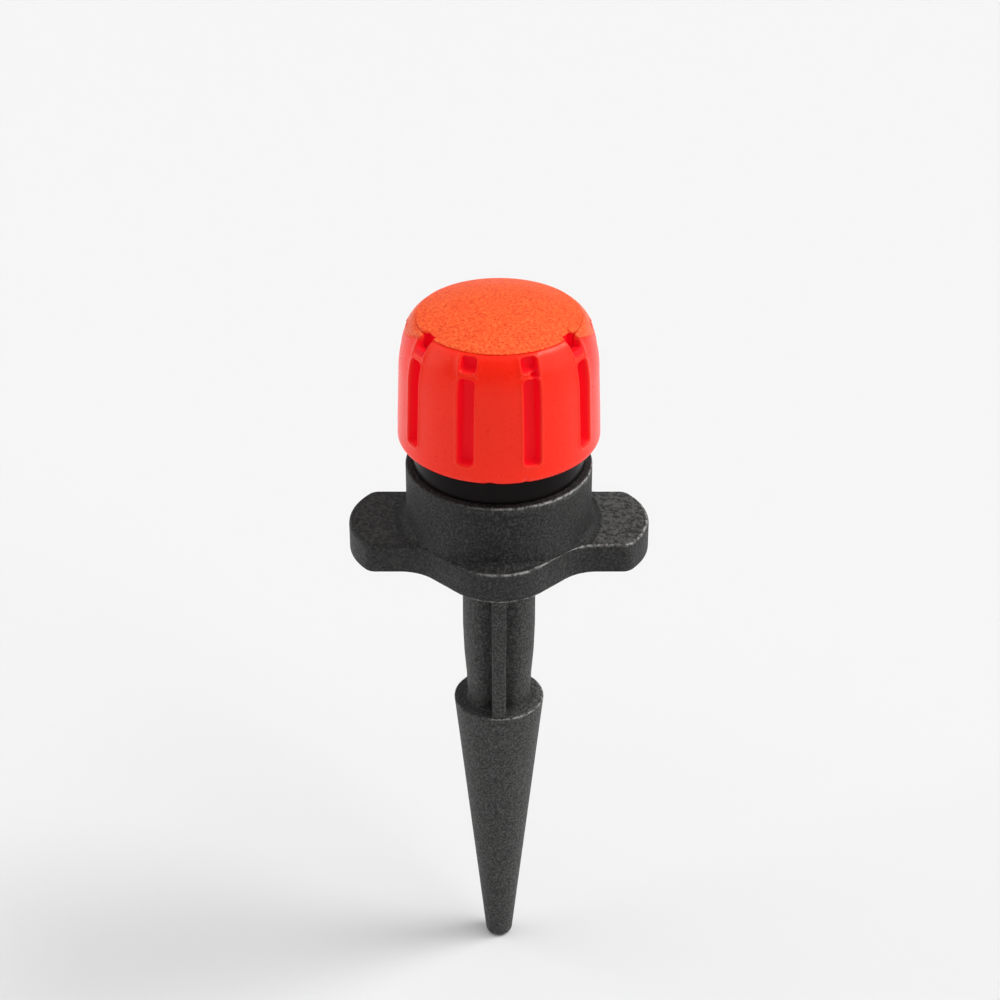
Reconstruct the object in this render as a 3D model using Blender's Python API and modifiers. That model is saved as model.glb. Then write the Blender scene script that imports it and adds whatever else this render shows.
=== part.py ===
"""Adjustable drip emitter: a winged black base on a long push-in barb, and a red cap that
screws up and down on a threaded neck and lets water out of ten outlets under its crown.

Every size below is in millimetres and is turned into metres where a mesh is made. The origin
is the centre of the barb's shoulder, the ring that bears on the inside of a pipe's wall, and
+Z runs up through the cap. The cap is modelled screwed partly open.
"""

import math

import bmesh
import bpy
from mathutils import Matrix, Vector

MM = 0.001

# Barb: hollow cone, shoulder and ribbed stem.
BARB_LENGTH = 25.0
BARB_SHOULDER_RADIUS = 3.62
BARB_TIP_RADIUS = 1.1
SHOULDER_ROUND = 0.25
TIP_ROUND = 0.6
TIP_BORE_RADIUS = 0.45
BORE_RADIUS = 1.0
STEM_RADIUS = 2.87
STEM_FOOT_RADIUS = 2.5
STEM_WAIST_HEIGHT = 7.0
RIB_REACH = 3.45
RIB_WIDTH = 1.1

# Wing base: flat flange with two wings and two lobes, and the round collar on it.
FLANGE_BOTTOM = 14.4
FLANGE_THICKNESS = 2.4
WING_SPAN = 11.62
WING_HALF_WIDTH = 4.0
WING_END_RADIUS = 5.75
WING_CORNER_RADIUS = 1.2
LOBE_RADIUS = 4.45
LOBE_CENTRE = 3.9
VALLEY_RADIUS = 3.5
FLANK_ANGLE = 45.0
COLLAR_RADIUS = 7.15
COLLAR_TOP = 22.0
SOCKET_RADIUS = 5.9
SOCKET_FLOOR = 17.6
SPIGOT_BORE_RADIUS = 2.75
SPIGOT_RADIUS = 2.45
SPIGOT_TOP = 17.3

# Gap left between two pieces that touch on the real emitter, and around a seal.
FIT_GAP = 0.3
SEAL_GAP = 0.15

# Seat washer, on the socket's floor.
WASHER_BOTTOM = SOCKET_FLOOR + FIT_GAP
WASHER_THICKNESS = 0.9
WASHER_RADIUS = 5.4
SEAT_HOLE_RADIUS = 0.75

# Neck: plug in the collar, glossy band, threaded post, smooth bore.
NECK_BOTTOM = WASHER_BOTTOM + WASHER_THICKNESS + FIT_GAP
NECK_PLUG_RADIUS = SOCKET_RADIUS - FIT_GAP
NECK_BAND_RADIUS = 6.62
NECK_BAND_BOTTOM = COLLAR_TOP + FIT_GAP
NECK_BAND_TOP = 24.0
NECK_TOP = 31.0
NECK_BORE_RADIUS = 3.7
NECK_FLOOR_TOP = 20.6
NECK_INLET_RADIUS = 1.6
GASKET_HEIGHT = 20.5
GASKET_WIRE_RADIUS = 0.4
GASKET_GROOVE_RADIUS = 4.7

# Thread between the neck and the cap. The cap climbs one lead for each full turn.
THREAD_LEAD = 1.5
THREAD_ROOT_WIDTH = 0.8
THREAD_CREST_WIDTH = 0.4
THREAD_BURIED = 0.15
NECK_THREAD_ROOT = 5.15
NECK_THREAD_CREST = 5.75
NECK_THREAD_START = 24.7
NECK_THREAD_TURNS = 3.4
CAP_THREAD_ROOT = 6.05
CAP_THREAD_CREST = 5.45
CAP_THREAD_TURNS = 2.4

# Cap skirt: ten fluted panels, elliptical shoulder, recess that holds the crown.
CAP_BOTTOM = 24.3
SKIRT_RADIUS = 7.7
SKIRT_TOP_RADIUS = 7.51
SKIRT_EDGE_ROUND = 0.4
SHOULDER_START = 29.95
SHOULDER_DEPTH = 1.674
SHOULDER_HEIGHT = 4.451
CROWN_SEAM_RADIUS = 6.35
CROWN_STEP_HEIGHT = 33.3
CROWN_STEP_RADIUS = 5.6
CHAMBER_TOP = 32.1
SKIRT_BORE_RADIUS = 6.9
SKIRT_BORE_TOP = 25.6

# Outlets and flutes, mirrored left and right of the front, in degrees from it.
OUTLET_ANGLES = (19.0, 57.0, 93.0, 128.0, 162.0)
FLUTE_WIDTH = 1.25
FLUTE_BOTTOM = 25.75
FLUTE_TOP = 32.7
FLUTE_FLOOR_BOTTOM_RADIUS = 6.95
FLUTE_FLOOR_TOP_RADIUS = 6.4
OUTLET_WIDTH = 1.3
OUTLET_BOTTOM = 32.95
OUTLET_INNER_RADIUS = 5.2

# Crown: shallow dome with a hub that slides in the neck's bore.
CROWN_RADIUS = CROWN_SEAM_RADIUS - FIT_GAP
CROWN_EDGE_HEIGHT = 34.36
CROWN_RISE = 1.19
CROWN_UNDERSIDE = CROWN_STEP_HEIGHT + FIT_GAP
HUB_RADIUS = 3.25
HUB_BORE_RADIUS = 2.1
HUB_BOTTOM = 26.5
PORT_WIDTH = 1.2
PORT_BOTTOM = 31.6
PORT_TOP = 33.2
O_RING_HEIGHT = 27.75
O_RING_WIRE_RADIUS = 0.375
O_RING_GROOVE_RADIUS = 2.6

# Metering needle, pressed into the crown, cone end down.
NEEDLE_RADIUS = 1.0
NEEDLE_SOCKET_RADIUS = NEEDLE_RADIUS + FIT_GAP
NEEDLE_SOCKET_TOP = 34.4
NEEDLE_TOP = NEEDLE_SOCKET_TOP - FIT_GAP
NEEDLE_CONE_TOP = 21.2
NEEDLE_TIP = 19.0
NEEDLE_TIP_RADIUS = 0.25

# Base colour, roughness and metallic value of each finish.
FINISHES = {
    "matte_black_plastic": ((0.030, 0.030, 0.031, 1.0), 0.62, 0.0),
    "gloss_black_plastic": ((0.008, 0.008, 0.009, 1.0), 0.16, 0.0),
    "red_cap_plastic": ((0.840, 0.050, 0.018, 1.0), 0.36, 0.0),
    "black_rubber": ((0.018, 0.018, 0.018, 1.0), 0.75, 0.0),
    "natural_plastic": ((0.720, 0.700, 0.640, 1.0), 0.40, 0.0),
}


def clear_scene():
    """Remove the objects that the startup scene holds."""
    for old in list(bpy.data.objects):
        bpy.data.objects.remove(old, do_unlink=True)


def new_collection(name):
    """A collection in the scene."""
    collection = bpy.data.collections.new(name)
    bpy.context.scene.collection.children.link(collection)
    return collection


def make_finish(name):
    """A Principled material from the FINISHES table."""
    colour, roughness, metallic = FINISHES[name]
    material = bpy.data.materials.new(name)
    material.use_nodes = True
    shader = material.node_tree.nodes["Principled BSDF"]
    shader.inputs["Base Color"].default_value = colour
    shader.inputs["Roughness"].default_value = roughness
    shader.inputs["Metallic"].default_value = metallic
    material.diffuse_color = colour
    return material


def add_object(name, mesh, collection):
    """Wrap a mesh in an object; its origin stays on the emitter's axis."""
    obj = bpy.data.objects.new(name, mesh)
    collection.objects.link(obj)
    return obj


def hide_helper(obj):
    """Keep a cutter or a piece to be joined out of the finished object."""
    obj.hide_render = True
    obj.display_type = "WIRE"
    return obj


def arc(centre, radius, start, end, steps):
    """Points of a circular arc about centre, angles in degrees, both ends included."""
    angles = [math.radians(start + (end - start) * i / steps) for i in range(steps + 1)]
    return [
        (centre[0] + radius * math.cos(a), centre[1] + radius * math.sin(a)) for a in angles
    ]


def turned(name, outline, steps, collection):
    """Solid of revolution about Z from (radius, height) points that run down the outer side.

    An outline that starts on the axis also ends on it; any other outline is a closed loop.
    """
    mesh = bpy.data.meshes.new(name)
    points = [(radius * MM, 0.0, height * MM) for radius, height in outline]
    edges = [(i, i + 1) for i in range(len(points) - 1)]
    if outline[0][0] > 0.0:
        edges.append((len(points) - 1, 0))
    mesh.from_pydata(points, edges, [])
    obj = add_object(name, mesh, collection)
    screw = obj.modifiers.new("Turn", "SCREW")
    screw.axis = "Z"
    screw.steps = steps
    screw.render_steps = steps
    screw.use_merge_vertices = True
    screw.merge_threshold = 0.000001
    return obj


def torus_outline(ring_radius, wire_radius, height, steps):
    """Closed round section of an O-ring, for turned."""
    return arc((ring_radius, height), wire_radius, 90.0, -270.0, steps)[:-1]


def combine(obj, other, operation, solver="EXACT"):
    """Cut another object out of this one, or join it on."""
    boolean = obj.modifiers.new(other.name, "BOOLEAN")
    boolean.operation = operation
    boolean.solver = solver
    boolean.object = other


def thread_ridge(name, root_radius, crest_radius, start_height, turns, collection):
    """Right-handed helical ridge of trapezoid section, its root buried in its wall."""
    steps_per_turn = 24
    steps = round(steps_per_turn * turns)
    half_root = THREAD_ROOT_WIDTH / 2
    half_crest = THREAD_CREST_WIDTH / 2
    section = [
        (root_radius, start_height - half_root),
        (crest_radius, start_height - half_crest),
        (crest_radius, start_height + half_crest),
        (root_radius, start_height + half_root),
    ]
    shape = bmesh.new()
    corners = [shape.verts.new((r * MM, 0.0, z * MM)) for r, z in section]
    face = shape.faces.new(corners)
    bmesh.ops.spin(
        shape,
        geom=[face] + list(face.edges) + corners,
        cent=(0.0, 0.0, 0.0),
        axis=(0.0, 0.0, 1.0),
        dvec=(0.0, 0.0, THREAD_LEAD * MM / steps_per_turn),
        angle=math.tau * steps / steps_per_turn,
        steps=steps,
        use_merge=False,
        use_duplicate=False,
    )
    bmesh.ops.recalc_face_normals(shape, faces=shape.faces)
    mesh = bpy.data.meshes.new(name)
    shape.to_mesh(mesh)
    shape.free()
    return hide_helper(add_object(name, mesh, collection))


def add_slot(shape, angle, width, inner_radii, outer_radius, heights, round_radius):
    """Add one radial slot to a cutter mesh: its floor may lean, its ends are rounded.

    The angle is in degrees from the front, -Y, towards +X. The inner radii are the floor's
    at the lower and the upper height.
    """
    made = bmesh.ops.create_cube(shape, size=1.0)["verts"]
    for vert in made:
        top = vert.co.z > 0.0
        reach = inner_radii[top] if vert.co.x < 0.0 else outer_radius
        vert.co = Vector((reach, math.copysign(width / 2, vert.co.y), heights[top])) * MM
    ends = {
        edge
        for vert in made
        for edge in vert.link_edges
        if abs(edge.verts[0].co.y - edge.verts[1].co.y) < 1e-9
        and abs(edge.verts[0].co.z - edge.verts[1].co.z) < 1e-9
    }
    rounded = bmesh.ops.bevel(
        shape,
        geom=list(ends),
        offset=round_radius * MM,
        offset_type="OFFSET",
        segments=3,
        profile=0.5,
        affect="EDGES",
        material=-1,
    )
    turn = Matrix.Rotation(math.radians(angle - 90.0), 4, "Z")
    moved = set(rounded["verts"]) | {vert for vert in made if vert.is_valid}
    bmesh.ops.transform(shape, matrix=turn, verts=list(moved))


def slot_cutter(name, angles, width, inner_radii, outer_radius, heights, round_radius, collection):
    """One cutter mesh that holds a slot at each angle."""
    shape = bmesh.new()
    for angle in angles:
        add_slot(shape, angle, width, inner_radii, outer_radius, heights, round_radius)
    bmesh.ops.recalc_face_normals(shape, faces=shape.faces)
    mesh = bpy.data.meshes.new(name)
    shape.to_mesh(mesh)
    shape.free()
    return hide_helper(add_object(name, mesh, collection))


def flange_quarter():
    """Outline of the flange from the wing's end, +X, to the lobe's crest, +Y."""
    flank = math.radians(FLANK_ANGLE)
    end_centre = WING_SPAN - WING_END_RADIUS
    inner = WING_HALF_WIDTH - WING_CORNER_RADIUS
    corner_x = end_centre + math.sqrt((WING_END_RADIUS - WING_CORNER_RADIUS) ** 2 - inner**2)
    corner_angle = math.degrees(math.atan2(inner, corner_x - end_centre))
    crest_x = LOBE_RADIUS * math.sin(flank)
    crest_y = LOBE_CENTRE + LOBE_RADIUS * math.cos(flank)
    foot_y = WING_HALF_WIDTH + VALLEY_RADIUS * (1.0 - math.cos(flank))
    foot_x = crest_x + (crest_y - foot_y) / math.tan(flank)
    valley = (foot_x + VALLEY_RADIUS * math.sin(flank), WING_HALF_WIDTH + VALLEY_RADIUS)
    points = arc((end_centre, 0.0), WING_END_RADIUS, 0.0, corner_angle, 4)
    points += arc((corner_x, inner), WING_CORNER_RADIUS, corner_angle, 90.0, 3)[1:]
    points += arc(valley, VALLEY_RADIUS, -90.0, -90.0 - FLANK_ANGLE, 4)
    points += arc((0.0, LOBE_CENTRE), LOBE_RADIUS, 90.0 - FLANK_ANGLE, 90.0, 5)
    return points


def flange_plate(collection):
    """The flange as a flat outline curve with thickness, made into a mesh."""
    quarter = flange_quarter()
    half = quarter + [(-x, y) for x, y in quarter[-2::-1]]
    whole = half + [(x, -y) for x, y in half[-2:0:-1]]
    curve = bpy.data.curves.new("flange_outline", "CURVE")
    curve.dimensions = "2D"
    curve.fill_mode = "BOTH"
    curve.extrude = FLANGE_THICKNESS / 2 * MM
    spline = curve.splines.new("POLY")
    spline.points.add(len(whole) - 1)
    for point, (x, y) in zip(spline.points, whole):
        point.co = (x * MM, y * MM, 0.0, 1.0)
    spline.use_cyclic_u = True
    outline = add_object("flange_outline", curve, collection)
    outline.location.z = (FLANGE_BOTTOM + FLANGE_THICKNESS / 2) * MM
    bpy.context.view_layer.update()
    graph = bpy.context.evaluated_depsgraph_get()
    mesh = bpy.data.meshes.new_from_object(outline.evaluated_get(graph))
    mesh.transform(outline.matrix_world)
    bpy.data.objects.remove(outline, do_unlink=True)
    shape = bmesh.new()
    shape.from_mesh(mesh)
    bmesh.ops.remove_doubles(shape, verts=shape.verts, dist=0.000001)
    shape.to_mesh(mesh)
    shape.free()
    return mesh


def make_barb_spigot(parts, helpers):
    """Hollow cone, shoulder, stem with a front and a back rib, and the plug above it."""
    tip_round = arc(
        (BARB_TIP_RADIUS - TIP_ROUND, TIP_ROUND - BARB_LENGTH), TIP_ROUND, 0.0, -80.0, 4
    )
    shoulder_round = arc(
        (BARB_SHOULDER_RADIUS - SHOULDER_ROUND, -SHOULDER_ROUND), SHOULDER_ROUND, 90.0, 0.0, 3
    )
    stem_top = FLANGE_BOTTOM - FIT_GAP
    outline = [(SPIGOT_RADIUS, SPIGOT_TOP), (SPIGOT_RADIUS, stem_top), (STEM_RADIUS, stem_top)]
    outline += [(STEM_RADIUS, STEM_WAIST_HEIGHT), (2.78, 4.5), (2.6, 2.3)]
    outline += [(STEM_FOOT_RADIUS, 0.0)] + shoulder_round + tip_round
    outline += [(TIP_BORE_RADIUS, -BARB_LENGTH), (TIP_BORE_RADIUS, -20.0)]
    outline += [(BORE_RADIUS, -14.0), (BORE_RADIUS, SPIGOT_TOP)]
    spigot = turned("barb_spigot", outline, 36, parts)
    ribs = slot_cutter(
        "stem_ribs",
        (0.0, 180.0),
        RIB_WIDTH,
        (1.8, 1.8),
        RIB_REACH,
        (-1.0, stem_top - 0.05),
        0.1,
        helpers,
    )
    combine(spigot, ribs, "UNION")
    return spigot


def make_wing_base(parts, helpers):
    """Winged flange with its collar, the neck's socket and the spigot's bore."""
    base = add_object("wing_base", flange_plate(helpers), parts)
    collar_bottom = FLANGE_BOTTOM + 0.6
    collar = turned(
        "collar",
        [
            (0.0, COLLAR_TOP),
            (COLLAR_RADIUS - 0.1, COLLAR_TOP),
            (COLLAR_RADIUS, COLLAR_TOP - 0.1),
            (COLLAR_RADIUS, collar_bottom),
            (0.0, collar_bottom),
        ],
        48,
        helpers,
    )
    socket = turned(
        "socket",
        [
            (0.0, COLLAR_TOP + 1.0),
            (SOCKET_RADIUS, COLLAR_TOP + 1.0),
            (SOCKET_RADIUS, SOCKET_FLOOR),
            (SPIGOT_BORE_RADIUS, SOCKET_FLOOR),
            (SPIGOT_BORE_RADIUS, FLANGE_BOTTOM - 1.0),
            (0.0, FLANGE_BOTTOM - 1.0),
        ],
        48,
        helpers,
    )
    # The wing edges leave open seams in the collar's facets under the exact solver.
    combine(base, hide_helper(collar), "UNION", "MANIFOLD")
    combine(base, hide_helper(socket), "DIFFERENCE", "MANIFOLD")
    return base


def make_seat_washer(parts):
    """Flat rubber washer; the needle closes its hole."""
    top = WASHER_BOTTOM + WASHER_THICKNESS
    outline = [
        (WASHER_RADIUS, top),
        (WASHER_RADIUS, WASHER_BOTTOM),
        (SEAT_HOLE_RADIUS, WASHER_BOTTOM),
        (SEAT_HOLE_RADIUS, top),
    ]
    return turned("seat_washer", outline, 32, parts)


def make_neck_gasket(parts):
    """O-ring in the groove of the neck's plug."""
    ring_radius = GASKET_GROOVE_RADIUS + 0.2 + GASKET_WIRE_RADIUS
    outline = torus_outline(ring_radius, GASKET_WIRE_RADIUS, GASKET_HEIGHT, 8)
    return turned("neck_gasket", outline, 36, parts)


def make_threaded_neck(parts, helpers):
    """Plug with a gasket groove, glossy band, threaded post and smooth inner bore."""
    groove_half = GASKET_WIRE_RADIUS + SEAL_GAP
    outline = [
        (NECK_THREAD_ROOT - 0.3, NECK_TOP),
        (NECK_THREAD_ROOT, NECK_TOP - 0.4),
        (NECK_THREAD_ROOT, NECK_BAND_TOP),
        (NECK_BAND_RADIUS - 0.15, NECK_BAND_TOP),
        (NECK_BAND_RADIUS, NECK_BAND_TOP - 0.15),
        (NECK_BAND_RADIUS, NECK_BAND_BOTTOM),
        (NECK_PLUG_RADIUS, NECK_BAND_BOTTOM),
        (NECK_PLUG_RADIUS, GASKET_HEIGHT + groove_half),
        (GASKET_GROOVE_RADIUS, GASKET_HEIGHT + groove_half),
        (GASKET_GROOVE_RADIUS, GASKET_HEIGHT - groove_half),
        (NECK_PLUG_RADIUS, GASKET_HEIGHT - groove_half),
        (NECK_PLUG_RADIUS, NECK_BOTTOM),
        (NECK_INLET_RADIUS, NECK_BOTTOM),
        (NECK_INLET_RADIUS, NECK_FLOOR_TOP),
        (NECK_BORE_RADIUS, NECK_FLOOR_TOP),
        (NECK_BORE_RADIUS, NECK_TOP),
    ]
    neck = turned("threaded_neck", outline, 40, parts)
    ridge = thread_ridge(
        "neck_thread",
        NECK_THREAD_ROOT - THREAD_BURIED,
        NECK_THREAD_CREST,
        NECK_THREAD_START,
        NECK_THREAD_TURNS,
        helpers,
    )
    combine(neck, ridge, "UNION")
    return neck


def skirt_outline():
    """Closed section of the cap skirt, from the crown's seam down the outside and up inside."""
    shoulder_centre = SKIRT_TOP_RADIUS - SHOULDER_DEPTH
    seam_angle = math.acos((CROWN_SEAM_RADIUS - shoulder_centre) / SHOULDER_DEPTH)
    steps = 7
    angles = [seam_angle * (1.0 - i / steps) for i in range(steps + 1)]
    outline = [
        (
            shoulder_centre + SHOULDER_DEPTH * math.cos(a),
            SHOULDER_START + SHOULDER_HEIGHT * math.sin(a),
        )
        for a in angles
    ]
    edge_centre = (SKIRT_RADIUS - SKIRT_EDGE_ROUND, CAP_BOTTOM + SKIRT_EDGE_ROUND)
    outline += arc(edge_centre, SKIRT_EDGE_ROUND, 0.0, -90.0, 3)
    outline += [
        (SKIRT_BORE_RADIUS, CAP_BOTTOM),
        (SKIRT_BORE_RADIUS, SKIRT_BORE_TOP),
        (CAP_THREAD_ROOT, SKIRT_BORE_TOP),
        (CAP_THREAD_ROOT, CHAMBER_TOP),
        (CROWN_STEP_RADIUS, CHAMBER_TOP + 0.2),
        (CROWN_STEP_RADIUS, CROWN_STEP_HEIGHT),
        (CROWN_SEAM_RADIUS, CROWN_STEP_HEIGHT),
    ]
    return outline


def make_cap_skirt(parts, helpers):
    """Fluted skirt with its inner thread and the notches that the outlets open from."""
    skirt = turned("cap_skirt", skirt_outline(), 60, parts)
    # Half a lead above a ridge of the neck, so that both flanks keep the same clearance.
    start = NECK_THREAD_START + 1.5 * THREAD_LEAD
    ridge = thread_ridge(
        "cap_thread",
        CAP_THREAD_ROOT + THREAD_BURIED,
        CAP_THREAD_CREST,
        start,
        CAP_THREAD_TURNS,
        helpers,
    )
    angles = [side * angle for angle in OUTLET_ANGLES for side in (-1.0, 1.0)]
    flutes = slot_cutter(
        "flutes",
        angles,
        FLUTE_WIDTH,
        (FLUTE_FLOOR_BOTTOM_RADIUS, FLUTE_FLOOR_TOP_RADIUS),
        SKIRT_RADIUS + 1.0,
        (FLUTE_BOTTOM, FLUTE_TOP),
        0.45,
        helpers,
    )
    outlets = slot_cutter(
        "outlets",
        angles,
        OUTLET_WIDTH,
        (OUTLET_INNER_RADIUS, OUTLET_INNER_RADIUS),
        SKIRT_RADIUS + 1.0,
        (OUTLET_BOTTOM, CROWN_EDGE_HEIGHT + 1.0),
        0.4,
        helpers,
    )
    combine(skirt, ridge, "UNION")
    combine(skirt, flutes, "DIFFERENCE")
    combine(skirt, outlets, "DIFFERENCE")
    return skirt


def make_cap_crown(parts, helpers):
    """Shallow dome with a ported hub, the O-ring's groove and the needle's socket."""
    sphere_radius = (CROWN_RADIUS**2 + CROWN_RISE**2) / (2.0 * CROWN_RISE)
    edge_angle = math.degrees(math.asin(CROWN_RADIUS / sphere_radius))
    sphere_centre = (0.0, CROWN_EDGE_HEIGHT + CROWN_RISE - sphere_radius)
    groove_half = O_RING_WIRE_RADIUS + SEAL_GAP
    outline = arc(sphere_centre, sphere_radius, 90.0, 90.0 - edge_angle, 6)
    outline[0] = (0.0, outline[0][1])
    outline += [
        (CROWN_RADIUS, CROWN_UNDERSIDE),
        (HUB_RADIUS, CROWN_UNDERSIDE),
        (HUB_RADIUS, O_RING_HEIGHT + groove_half),
        (O_RING_GROOVE_RADIUS, O_RING_HEIGHT + groove_half),
        (O_RING_GROOVE_RADIUS, O_RING_HEIGHT - groove_half),
        (HUB_RADIUS, O_RING_HEIGHT - groove_half),
        (HUB_RADIUS, HUB_BOTTOM),
        (HUB_BORE_RADIUS, HUB_BOTTOM),
        (HUB_BORE_RADIUS, CROWN_UNDERSIDE),
        (NEEDLE_SOCKET_RADIUS, CROWN_UNDERSIDE),
        (NEEDLE_SOCKET_RADIUS, NEEDLE_SOCKET_TOP),
        (0.0, NEEDLE_SOCKET_TOP),
    ]
    crown = turned("cap_crown", outline, 40, parts)
    ports = slot_cutter(
        "hub_ports",
        (0.0, 90.0, 180.0, 270.0),
        PORT_WIDTH,
        (1.7, 1.7),
        HUB_RADIUS + 0.6,
        (PORT_BOTTOM, PORT_TOP),
        0.3,
        helpers,
    )
    combine(crown, ports, "DIFFERENCE")
    return crown


def make_cap_o_ring(parts):
    """O-ring on the crown's hub, sealing in the neck's bore."""
    ring_radius = O_RING_GROOVE_RADIUS + 0.2 + O_RING_WIRE_RADIUS
    outline = torus_outline(ring_radius, O_RING_WIRE_RADIUS, O_RING_HEIGHT, 8)
    return turned("cap_o_ring", outline, 30, parts)


def make_metering_needle(parts):
    """Needle whose cone opens and closes the hole of the seat washer."""
    outline = [
        (0.0, NEEDLE_TOP),
        (NEEDLE_RADIUS, NEEDLE_TOP),
        (NEEDLE_RADIUS, NEEDLE_CONE_TOP),
        (NEEDLE_TIP_RADIUS, NEEDLE_TIP),
        (0.0, NEEDLE_TIP),
    ]
    return turned("metering_needle", outline, 24, parts)


def finish_piece(obj, material):
    """Give a piece its material and smooth shading."""
    obj.data.materials.append(material)
    obj.data.shade_smooth()
    for modifier in obj.modifiers:
        if modifier.type == "SCREW":
            modifier.use_smooth_shade = True


def main():
    clear_scene()
    parts = new_collection("drip_emitter")
    helpers = new_collection("drip_emitter_helpers")
    materials = {name: make_finish(name) for name in FINISHES}
    pieces = {
        make_barb_spigot(parts, helpers): "matte_black_plastic",
        make_wing_base(parts, helpers): "matte_black_plastic",
        make_seat_washer(parts): "black_rubber",
        make_neck_gasket(parts): "black_rubber",
        make_threaded_neck(parts, helpers): "gloss_black_plastic",
        make_cap_skirt(parts, helpers): "red_cap_plastic",
        make_cap_crown(parts, helpers): "red_cap_plastic",
        make_cap_o_ring(parts): "black_rubber",
        make_metering_needle(parts): "natural_plastic",
    }
    for obj, finish in pieces.items():
        finish_piece(obj, materials[finish])


main()
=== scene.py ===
"""Push-in drip emitter: a winged black base on a long barb, a glossy neck, and a fluted red cap
that screws up and down on it.

Each piece is turned from an outline, and its points are then moved to their places. Outlines
are in millimetres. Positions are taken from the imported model's own parts.
"""

import math

import bmesh
import bpy
from bpy.props import FloatProperty, FloatVectorProperty, PointerProperty
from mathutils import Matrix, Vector


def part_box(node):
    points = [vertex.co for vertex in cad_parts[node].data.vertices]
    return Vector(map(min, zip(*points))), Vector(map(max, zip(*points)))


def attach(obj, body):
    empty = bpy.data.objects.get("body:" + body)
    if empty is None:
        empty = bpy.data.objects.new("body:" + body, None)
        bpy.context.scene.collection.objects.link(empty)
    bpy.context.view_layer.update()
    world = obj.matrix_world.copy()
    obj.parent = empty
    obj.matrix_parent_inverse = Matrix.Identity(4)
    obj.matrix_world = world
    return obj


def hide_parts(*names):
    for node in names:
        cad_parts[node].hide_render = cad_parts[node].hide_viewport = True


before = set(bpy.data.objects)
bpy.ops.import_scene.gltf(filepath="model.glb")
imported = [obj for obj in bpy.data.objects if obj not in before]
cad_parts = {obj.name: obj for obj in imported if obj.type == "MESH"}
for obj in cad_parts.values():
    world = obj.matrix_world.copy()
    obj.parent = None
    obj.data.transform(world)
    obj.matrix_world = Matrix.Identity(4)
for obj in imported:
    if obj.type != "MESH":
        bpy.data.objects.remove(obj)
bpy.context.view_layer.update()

bl_info = {
    "name": "Drip Emitter",
    "version": (1, 0, 0),
    "blender": (4, 5, 0),
    "location": "View3D > Sidebar > Emitter",
    "description": "Builds a push-in drip emitter with a cap that screws up and down",
    "category": "Add Mesh",
}

MM = 0.001


def low(node):
    """Height of a part's lowest point, in millimetres."""
    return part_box(node)[0].z / MM


def high(node):
    """Height of a part's highest point, in millimetres."""
    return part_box(node)[1].z / MM


def reach(node):
    """Radius of a round part, in millimetres."""
    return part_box(node)[1].x / MM


CAP_BOTTOM = low("cap_skirt")
CAP_RADIUS = reach("cap_skirt")
CROWN_TOP = high("cap_crown")
HUB_BOTTOM = low("cap_crown")
NECK_BOTTOM = low("threaded_neck")
NECK_TOP = high("threaded_neck")
BAND_RADIUS = reach("threaded_neck")
FLANGE_BOTTOM = low("wing_base")
COLLAR_TOP = high("wing_base")
WING_SPAN = reach("wing_base")
BARB_TIP = low("barb_spigot")
SHOULDER_RADIUS = reach("barb_spigot")
SPIGOT_TOP = high("barb_spigot")


# ---- settings


def millimetres(name, default, description):
    """A length that the sidebar shows in the scene's unit."""
    return FloatProperty(
        name=name, description=description, default=default * MM, unit="LENGTH", precision=5
    )


def colour(name, default, description):
    """A linear colour."""
    limits = {"size": 3, "min": 0.0, "max": 1.0}
    return FloatVectorProperty(
        name=name, description=description, default=default, subtype="COLOR", **limits
    )


class EmitterSizes(bpy.types.PropertyGroup):
    """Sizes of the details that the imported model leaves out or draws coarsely."""

    flute_half: millimetres("Flute half width", 0.67, "Half the width of a flute in the skirt")
    flute_low: millimetres("Flute bottom", 1.42, "Height of a flute's lower end over the skirt's")
    flute_high: millimetres("Flute top", 8.42, "Height of a flute's upper end over the skirt's")
    sill: millimetres("Outlet sill", 9.2, "Height of an outlet's sill over the skirt's edge")
    lip: millimetres("Lip", 0.055, "Height of the raised rim along flutes and outlets")
    edge_round: millimetres("Flange rounding", 0.28, "Rounding of the flange's upper edge")
    foot_fillet: millimetres("Collar fillet", 0.75, "Fillet where the collar meets the flange")
    rib_half: millimetres("Rib half width", 0.53, "Half the width of the stem's ribs")
    rib_reach: millimetres("Rib reach", 3.45, "Distance from the axis to a rib's face")


class EmitterColours(bpy.types.PropertyGroup):
    """Base colours of the mouldings and rubber parts."""

    skirt: colour("Skirt", (0.93, 0.013, 0.004), "Red of the fluted skirt")
    # Painted shade: the flutes, the outlets, the skirt's inside and the crown's rim over the
    # outlets get this darker red for the shade in those recesses.
    groove: colour("Flutes", (0.76, 0.001, 0.008), "Deep red of the flutes and outlets")
    crown: colour("Crown", (0.82, 0.068, 0.014), "Orange-red of the domed crown")
    base: colour("Base", (0.0165, 0.0165, 0.016), "Matte black of the flange and its collar")
    # Painted light: a lighter copy of the base's black, standing in for the light the barb gets
    # from the floor.
    barb: colour("Barb", (0.032, 0.032, 0.031), "Matte dark grey of the barb")
    neck: colour("Neck", (0.004, 0.003, 0.003), "Glossy black of the neck")
    rubber: colour("Rubber", (0.016, 0.016, 0.016), "Black of the washer and the rings")
    needle: colour("Needle", (0.72, 0.70, 0.63), "Natural white of the metering needle")


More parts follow.
